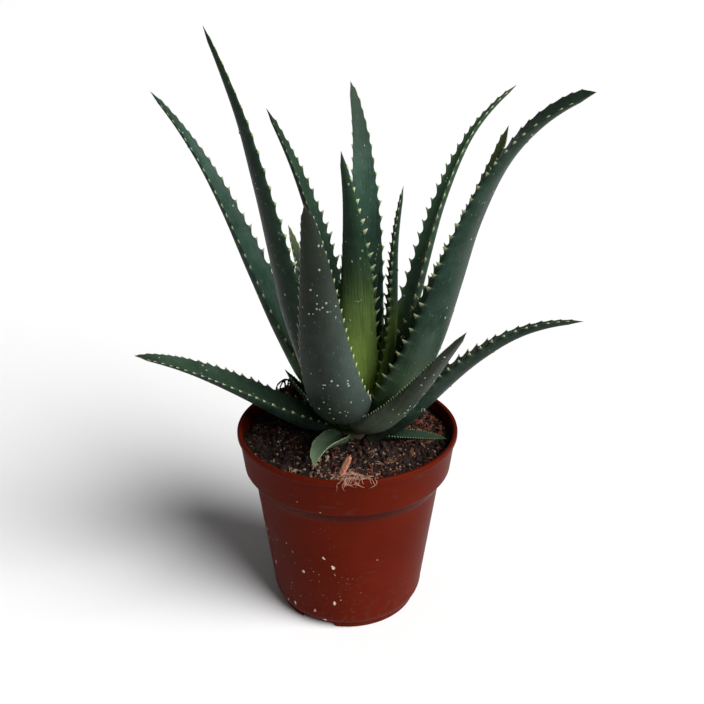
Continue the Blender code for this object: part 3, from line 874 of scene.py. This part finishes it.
soil_radius = inner_rim - COLLAR_TAPER * SOIL_DROP / COLLAR_HEIGHT - GAP
rows, steps = 120, 300
vertices = [(0.0, 0.0, ground(0.0, 0.0))]
for i in range(1, rows + 1):
    r = soil_radius * (i / rows) ** 0.8
    a = np.linspace(0, 2 * math.pi, steps, endpoint=False)
    x, y = r * np.cos(a), r * np.sin(a)
    vertices += list(zip(x, y, soil_height(x, y)))
faces = [(0, 1 + k, 1 + (k + 1) % steps) for k in range(steps)]
for i in range(rows - 1):
    a, b = 1 + i * steps, 1 + (i + 1) * steps
    faces += [(a + k, b + k, b + (k + 1) % steps, a + (k + 1) % steps) for k in range(steps)]
below = [(r - GAP, z + GAP) for r, z in reversed(inside[1:-1])]
last = 1 + (rows - 1) * steps
for r, z in below:
    first = len(vertices)
    around = [2 * math.pi * k / steps for k in range(steps)]
    vertices += [(r * math.cos(a), r * math.sin(a), z) for a in around]
    for k in range(steps):
        nxt = (k + 1) % steps
        faces.append((last + k, first + k, first + nxt, last + nxt))
    last = first
vertices.append((0, 0, below[-1][1]))
faces += [(last + (k + 1) % steps, last + k, len(vertices) - 1) for k in range(steps)]
soil = mesh_object("soil_bed", vertices, faces)


def earth():
    """Moist peat with reddish patches and pale flecks."""
    n = Nodes("soil_peat")
    at = n.object_place()
    crumbly = n.ramp(n.noise(at, 260, 5, 0.7), 0.35, 0.7)
    colour = n.mix(crumbly, (0.004, 0.002, 0.0014), (0.020, 0.0085, 0.0055))
    colour = n.mix(n.ramp(n.noise(at, 60, 3, 0.6), 0.5, 0.75, 0.0, 0.6), colour, (0.050, 0.016, 0.009))
    flecks = n.first_of(n.voronoi(at, 700, output="Color"))
    colour = n.mix(n.ramp(flecks, 0.90, 0.94, 0.0, 0.7), colour, (0.22, 0.13, 0.08))
    normal = n.bump(n.noise(at, 1200, 5, 0.7), 0.0006, 1.0)
    return n.finish(colour, 0.93, normal, Specular_IOR_Level=0.25)


place(soil, "soil_earth", earth(), "soil")


def crumb(rnd, size, stretch=(1, 1, 1), detail=1):
    """An irregular grain: a small ball of flat sides pushed in and out."""
    bm = bmesh.new()
    bmesh.ops.create_icosphere(bm, subdivisions=detail, radius=1)
    points = np.array([tuple(v.co) for v in bm.verts])
    faces = [tuple(v.index for v in f.verts) for f in bm.faces]
    bm.free()
    points *= 1 + rnd.uniform(-0.28, 0.28, (len(points), 1))
    points *= np.array(stretch) * rnd.uniform(0.75, 1.25, 3)
    axis = unit(rnd.normal(size=3))
    spin = Matrix.Rotation(rnd.uniform(0, 2 * math.pi), 3, Vector(axis))
    return points @ np.array(spin).T * size, faces


def strewn(name, seed, count, sizes, where, material, slot, stretch=(1, 1, 1), lift=0.25, detail=1):
    """Grains lying on the soil, between two sizes in millimetres, at the places that where(rnd) chooses."""
    rnd = scatter(seed)
    sizes = (sizes[0] * MM, sizes[1] * MM)
    parts = []
    while len(parts) < count:
        at = where(rnd)
        if math.hypot(*at) > soil_radius - sizes[1] * 1.3:
            continue
        size = rnd.uniform(*sizes) * (0.7 + 0.6 * rnd.beta(1.5, 4))
        points, faces = crumb(rnd, size, stretch, detail)
        z = ground(*at)
        parts.append((points + np.array([at[0], at[1], z + size * lift]), faces))
    made = mesh_object(name, *joined(parts), smooth=False)
    return place(made, slot, material)


def anywhere(rnd):
    """A place anywhere on the soil."""
    r, a = (soil_radius * 0.99) * math.sqrt(rnd.uniform()), rnd.uniform(0, 2 * math.pi)
    return r * math.cos(a), r * math.sin(a)


def near(x, y, spread):
    """Chooses places round one point, given in millimetres."""

    def choose(rnd):
        return x * MM + rnd.normal() * (spread * MM), y * MM + rnd.normal() * (spread * MM)

    return choose


def grain(name, one, two, scale=400, rough=0.85):
    """A rough material between two colours, for crumbs, grit, fibres and roots."""
    n = Nodes(name)
    at = n.object_place()
    colour = n.mix(n.ramp(n.noise(at, scale, 4, 0.6), 0.35, 0.65), one, two)
    return n.finish(colour, rough, n.bump(n.noise(at, 1500, 4, 0.6), 0.0003, 0.8), Specular_IOR_Level=0.3)


peat = grain("peat_crumb", (0.005, 0.0025, 0.0018), (0.024, 0.0095, 0.006))
russet = grain("russet_bark", (0.050, 0.013, 0.006), (0.15, 0.042, 0.020), 250)
beige = grain("beige_grit", (0.11, 0.065, 0.04), (0.33, 0.22, 0.14), 300, 0.75)
FLAKE, SPLINTER = (1, 1, 0.7), (2.6, 0.7, 0.5)
strewn("soil_crumbs", 11, 1500, (0.5, 1.5), anywhere, peat, "soil_earth")
strewn("soil_lumps", 12, 150, (1.2, 2.6), anywhere, peat, "soil_earth", FLAKE, 0.1, 2)
strewn("bark_bits", 13, 150, (0.6, 1.5), anywhere, russet, "bark", (2.4, 0.8, 0.5))
strewn("bark_bits_front", 14, 90, (0.6, 1.6), near(6, -44, 9), russet, "bark", SPLINTER)
strewn("grit", 15, 75, (0.5, 1.35), near(-23, -36, 12), beige, "soil_earth", (1, 1, 0.8), 0.3, 2)
strewn("grit_right", 16, 70, (0.4, 1.0), near(30, -36, 13), beige, "soil_earth")
strewn("bark_bits_right", 18, 150, (0.6, 1.5), near(40, 8, 11), russet, "bark", (1.8, 1.0, 0.7))


def heaped(name, seed, count, sizes, at, spread, tall, material, slot):
    """Grains piled up into a small loose heap."""
    rnd = scatter(seed)
    parts = []
    while len(parts) < count:
        x, y = at[0] + rnd.normal() * spread * 0.6, at[1] + rnd.normal() * spread * 0.6
        if math.hypot(x, y) > soil_radius - 2 * MM:
            continue
        size = rnd.uniform(*sizes)
        pile = tall * math.exp(-((x - at[0]) ** 2 + (y - at[1]) ** 2) / spread ** 2)
        z = ground(x, y)
        points, faces = crumb(rnd, size, (1.3, 0.9, 0.8))
        parts.append((points + np.array([x, y, z + pile * math.sqrt(rnd.uniform())]), faces))
    return place(mesh_object(name, *joined(parts), smooth=False), slot, material)


root_at = middle_of("dry_root_tuft") * 0.93
heaped("root_heap", 19, 420, (0.7 * MM, 1.8 * MM), root_at, 10 * MM, 8 * MM, peat, "soil_earth")
heaped("root_heap_bark", 20, 120, (0.5 * MM, 1.2 * MM), root_at, 10 * MM, 9 * MM, russet, "bark")
strewn("grit_all", 17, 120, (0.35, 0.8), anywhere, beige, "soil_earth")

# ---- stem


def stem_sheath():
    n = Nodes("stem_skin")
    at = n.object_place()
    streaks = n.ramp(n.noise(n.scaled(at, (1, 1, 0.3)), 300, 4, 0.6), 0.35, 0.65)
    colour = n.mix(streaks, (0.06, 0.075, 0.03), (0.10, 0.06, 0.03))
    return n.finish(colour, 0.75, n.bump(n.noise(n.scaled(at, (1, 1, 0.2)), 700, 3, 0.6), 0.0005, 0.8))


low_stem, high_stem = SOIL_EDGE - 29 * MM, SOIL_EDGE + 17.5 * MM
stem_points = [
    (0, high_stem), (2.6 * MM, high_stem - 0.6 * MM), (4.2 * MM, high_stem - 2 * MM),
    (6.8 * MM, high_stem - 5 * MM),
    (9.6 * MM, SOIL_EDGE + 7.5 * MM), (10.2 * MM, SOIL_EDGE + 2 * MM), (9.8 * MM, SOIL_EDGE - 4 * MM),
    (8 * MM, SOIL_EDGE - 17 * MM), (5 * MM, low_stem), (0, low_stem),
]
vertices, faces = lathe(softened(stem_points, 1.5 * MM, 4), 48)
ribbed = []
for x, y, z in vertices:
    rib = 1 + 0.05 * math.sin(5 * math.atan2(y, x) + z * 300)
    ribbed.append((x * rib + STEM_X, y * rib + STEM_Y, z))
place(mesh_object("stem_crown", ribbed, faces), "leaf_inner_green", stem_sheath(), "stem")

# ---- bark chip, fibres and dry roots


def tube(path, radius, sides):
    """A thin closed tube along a path; it thins towards both ends."""
    path = np.array(path)
    forward = unit(np.gradient(path, axis=0))
    side = unit(np.cross(forward, np.array([0.31, 0.17, 0.93])))
    other = np.cross(forward, side)
    n = len(path)
    share = np.linspace(0, 1, n)
    thin = np.clip(np.minimum(share, 1 - share) * 5 + 0.3, 0, 1)
    points, faces = [], []
    for i in range(n):
        for k in range(sides):
            a = 2 * math.pi * k / sides
            points.append(path[i] + radius * thin[i] * (math.cos(a) * side[i] + math.sin(a) * other[i]))
    for i in range(n - 1):
        faces += band(i * sides, (i + 1) * sides, sides)
    faces.append(tuple(reversed(range(sides))))
    faces.append(tuple(range((n - 1) * sides, n * sides)))
    return points, faces


def smooth_path(points, count):
    """A smooth curve through a few points."""
    points = np.array(points)
    knots = np.concatenate([[0], np.cumsum(np.linalg.norm(np.diff(points, axis=0), axis=1))])
    fine = np.linspace(0, knots[-1], count)
    out = np.stack([np.interp(fine, knots, points[:, k]) for k in range(3)], axis=1)
    for _ in range(3):
        out[1:-1] = (out[:-2] + 2 * out[1:-1] + out[2:]) / 4
    return out


def chip():
    """A split piece of bark: a thin slab with ragged ends and a grooved face."""
    rnd = scatter(31)
    long, wide, deep = CHIP_SIZE
    n, m = 26, 9
    top, bottom = [], []
    for i in range(n):
        u = i / (n - 1) - 0.5
        for j in range(m):
            v = j / (m - 1) - 0.5
            ends = 1 + 0.12 * math.sin(9 * v + 2) * abs(u) * 2
            x = u * long * ends
            y = v * wide * (1 - 0.35 * (2 * abs(u)) ** 3)
            groove = 0.16 * math.sin(v * 26) + 0.10 * math.sin(v * 47 + 3 * u) + rnd.uniform(-0.05, 0.05)
            edge = (1 - (2 * abs(v)) ** 4) * (1 - (2 * abs(u)) ** 8)
            top.append((x, y, deep * (0.1 + 0.4 * edge) + groove * MM * edge))
            bottom.append((x, y, -deep * (0.1 + 0.35 * edge)))
    points = np.array(top + bottom)
    faces = []
    for i in range(n - 1):
        for j in range(m - 1):
            a = i * m + j
            faces.append((a, a + m, a + m + 1, a + 1))
            b = a + n * m
            faces.append((b, b + 1, b + m + 1, b + m))
    rim = list(range(m)) + [i * m + m - 1 for i in range(1, n)]
    rim += [(n - 1) * m + j for j in range(m - 2, -1, -1)] + [i * m for i in range(n - 2, 0, -1)]
    for a, b in zip(rim, rim[1:] + rim[:1]):
        faces.append((a, b, b + n * m, a + n * m))
    turned = Matrix.Rotation(math.radians(CHIP_TURN), 3, "Z")
    turned = turned @ Matrix.Rotation(math.radians(-CHIP_LEAN), 3, "Y")
    points = points @ np.array(turned).T + middle_of("bark_chip")
    made = mesh_object("bark_piece", points, faces)
    outward(made)
    return made


def bark_surface():
    n = Nodes("bark_fibrous")
    at = n.object_place()
    strands = n.noise(n.scaled(at, (900, 500, 500)), 1.0, 4, 0.6)
    colour = n.mix(n.ramp(strands, 0.35, 0.7), (0.22, 0.075, 0.042), (0.44, 0.20, 0.125))
    return n.finish(colour, 0.85, n.bump(strands, 0.0004, 0.9), Specular_IOR_Level=0.3)


place(chip(), "bark", bark_surface(), "bark_chip")

tan_fibre = grain("tan_fibre", (0.30, 0.13, 0.085), (0.62, 0.37, 0.27), 500, 0.8)
dark_root = grain("dark_root", (0.018, 0.008, 0.007), (0.065, 0.028, 0.018), 300, 0.85)


def rim_fibres():
    """A heap of curly dry coir at the soil's front edge, with a few strands hanging over the rim."""
    rnd = scatter(41)
    parts = []
    x0 = middle_of("fibre_tuft")[0] - 4 * MM
    inside = RIM_RADIUS - 3.0 * MM
    for _ in range(190):
        x, y = x0 + rnd.normal() * 6.2 * MM, -(46 + rnd.normal() * 4.6) * MM
        heading, level, path = rnd.uniform(0, 2 * math.pi), rnd.uniform(0.1, 1.0), []
        for _ in range(int(rnd.integers(7, 13))):
            shrink = min(1.0, inside / math.hypot(x, y))
            x, y = x * shrink, y * shrink
            heap = math.exp(-(((x - x0) / (9 * MM)) ** 2) - ((y + 51 * MM) / (8 * MM)) ** 2)
            raised = (0.3 + 6.6 * level * heap * rnd.uniform(0.85, 1.1)) * MM
            path.append((x, y, ground(x, y) + raised))
            heading += rnd.normal() * 0.75
            x, y = x + 0.95 * MM * math.cos(heading), y + 0.95 * MM * math.sin(heading)
        parts.append(tube(smooth_path(path, 28), rnd.uniform(0.07, 0.16) * MM, 5))
    for _ in range(18):
        x = x0 + 1.5 * MM + rnd.normal() * 4.2 * MM
        lean, drop = rnd.normal() * 1.8 * MM, rnd.uniform(0.3, 1.0) ** 3 * 5 * MM
        wide = math.sqrt(RIM_RADIUS ** 2 - x * x)
        ends = [
            (x - lean * 2, -(wide - 9 * MM), SOIL_EDGE + rnd.uniform(1.5, 4) * MM),
            (x - lean, -(wide - 4 * MM), POT_HEIGHT - rnd.uniform(0, 2) * MM),
            (x, -(wide - 1.4 * MM), POT_HEIGHT + rnd.uniform(0.35, 1.1) * MM),
            (x + lean * 0.6, -(wide + 0.9 * MM), POT_HEIGHT - 0.4 * MM),
            (x + lean, -(wide + 0.9 * MM), POT_HEIGHT - 0.4 * MM - drop * 0.5),
            (x + lean * rnd.uniform(-1, 2), -wide - rnd.uniform(0.7, 1.8) * MM, POT_HEIGHT - 0.4 * MM - drop),
        ]
        path = smooth_path(ends, 26)
        curl = np.cumsum(rnd.normal(size=(26, 3)), axis=0)
        curl -= np.linspace(0, 1, 26)[:, None] * curl[-1]
        path += curl * 0.24 * MM * np.array([1.0, 0.12, 0.2])
        parts.append(tube(path, rnd.uniform(0.07, 0.14) * MM, 5))
    return mesh_object("fibre_strands", *joined(parts))


place(rim_fibres(), "dry_fibre", tan_fibre, "fibre_tuft")


def root_loops():
    """Dead, dry roots standing in loops at the back edge of the soil."""
    rnd = scatter(43)
    x0, y0, _ = middle_of("dry_root_tuft")
    parts = []
    for _ in range(13):
        spread, tall = rnd.uniform(3, 8) * MM, rnd.uniform(8, 19) * MM
        facing = rnd.uniform(0, math.pi)
        across = np.array([math.cos(facing), math.sin(facing), 0])
        foot_at = np.array([x0, y0, 0]) * rnd.uniform(0.86, 0.99)
        foot_at = foot_at + rnd.normal(size=3) * np.array([2.2, 2.2, 0]) * MM
        path = []
        for t in np.linspace(0, 1, 14):
            a = math.pi * t
            height = np.array([0, 0, SOIL_EDGE + 0.2 * MM + tall * math.sin(a) ** 0.85])
            path.append(foot_at + across * spread * math.cos(a) + height + rnd.normal(size=3) * 0.35 * MM)
        path = smooth_path(path, 40)
        reach = np.hypot(path[:, 0], path[:, 1])
        limit = inner_rim - 1.2 * MM
        path[:, :2] *= np.minimum(1, limit / np.maximum(reach, 1e-9))[:, None]
        parts.append(tube(path, rnd.uniform(0.25, 0.55) * MM, 7))
    return mesh_object("root_loops", *joined(parts))


place(root_loops(), "dry_fibre", dark_root, "dry_root_tuft")


def soil_threads():
    """Fine dry rootlets lying all over the soil."""
    rnd = scatter(47)
    parts = []
    for _ in range(45):
        x, y = anywhere(rnd)
        heading = rnd.uniform(0, 2 * math.pi)
        path = []
        for _ in range(9):
            if math.hypot(x, y) < soil_radius - 1.5 * MM:
                path.append((x, y, ground(x, y) + rnd.uniform(0.1, 0.9) * MM))
            heading += rnd.normal() * 0.35
            x, y = x + 1.1 * MM * math.cos(heading), y + 1.1 * MM * math.sin(heading)
        if len(path) > 4:
            parts.append(tube(smooth_path(path, 14), rnd.uniform(0.08, 0.17) * MM, 5))
    return mesh_object("soil_threads", *joined(parts))


place(soil_threads(), "dry_fibre", tan_fibre)

# ---- stage, light and camera


def stage():
    bpy.ops.mesh.primitive_plane_add(size=60, location=(0, 0, 0))
    floor = bpy.context.object
    floor.name = "floor"
    floor.data.materials.append(Nodes("pale_floor").finish((0.88, 0.88, 0.88), 0.9, Specular_IOR_Level=0.1))


def towards(lamp_or_camera, spot):
    """Turns a light or a camera to look at a spot."""
    way = Vector(spot) - lamp_or_camera.location
    lamp_or_camera.rotation_euler = way.to_track_quat("-Z", "Y").to_euler()


def added(name, data, location):
    """A new object in the scene for a light or a camera."""
    made = bpy.data.objects.new(name, data)
    bpy.context.scene.collection.objects.link(made)
    made.location = location
    return made


KEY_FROM, KEY_POWER, KEY_SPREAD = (0.72, -0.54, 0.72), 5.3, 46
SKY_POWER = 0.11
CAMERA_AT, CAMERA_LOOKS_AT = (0.0025, -0.4568, 0.3534), (0.0025, 0, 0.150)
LENS, SENSOR = 48.4, 36

stage()
world = bpy.data.worlds.new("studio")
bpy.context.scene.world = world
world.use_nodes = True
world.node_tree.nodes["Background"].inputs["Color"].default_value = (1, 1, 1, 1)
world.node_tree.nodes["Background"].inputs["Strength"].default_value = SKY_POWER
sun = bpy.data.lights.new("key", "SUN")
sun.energy, sun.angle = KEY_POWER, math.radians(KEY_SPREAD)
towards(added("key", sun, KEY_FROM), (0, 0, 0))
bpy.context.scene.view_settings.view_transform = "Standard"

camera_data = bpy.data.cameras.new("view")
camera_data.lens, camera_data.sensor_width = LENS, SENSOR
camera_data.clip_start = 0.01
camera = added("view", camera_data, CAMERA_AT)
towards(camera, CAMERA_LOOKS_AT)
bpy.context.scene.camera = camera

bpy.context.view_layer.update()
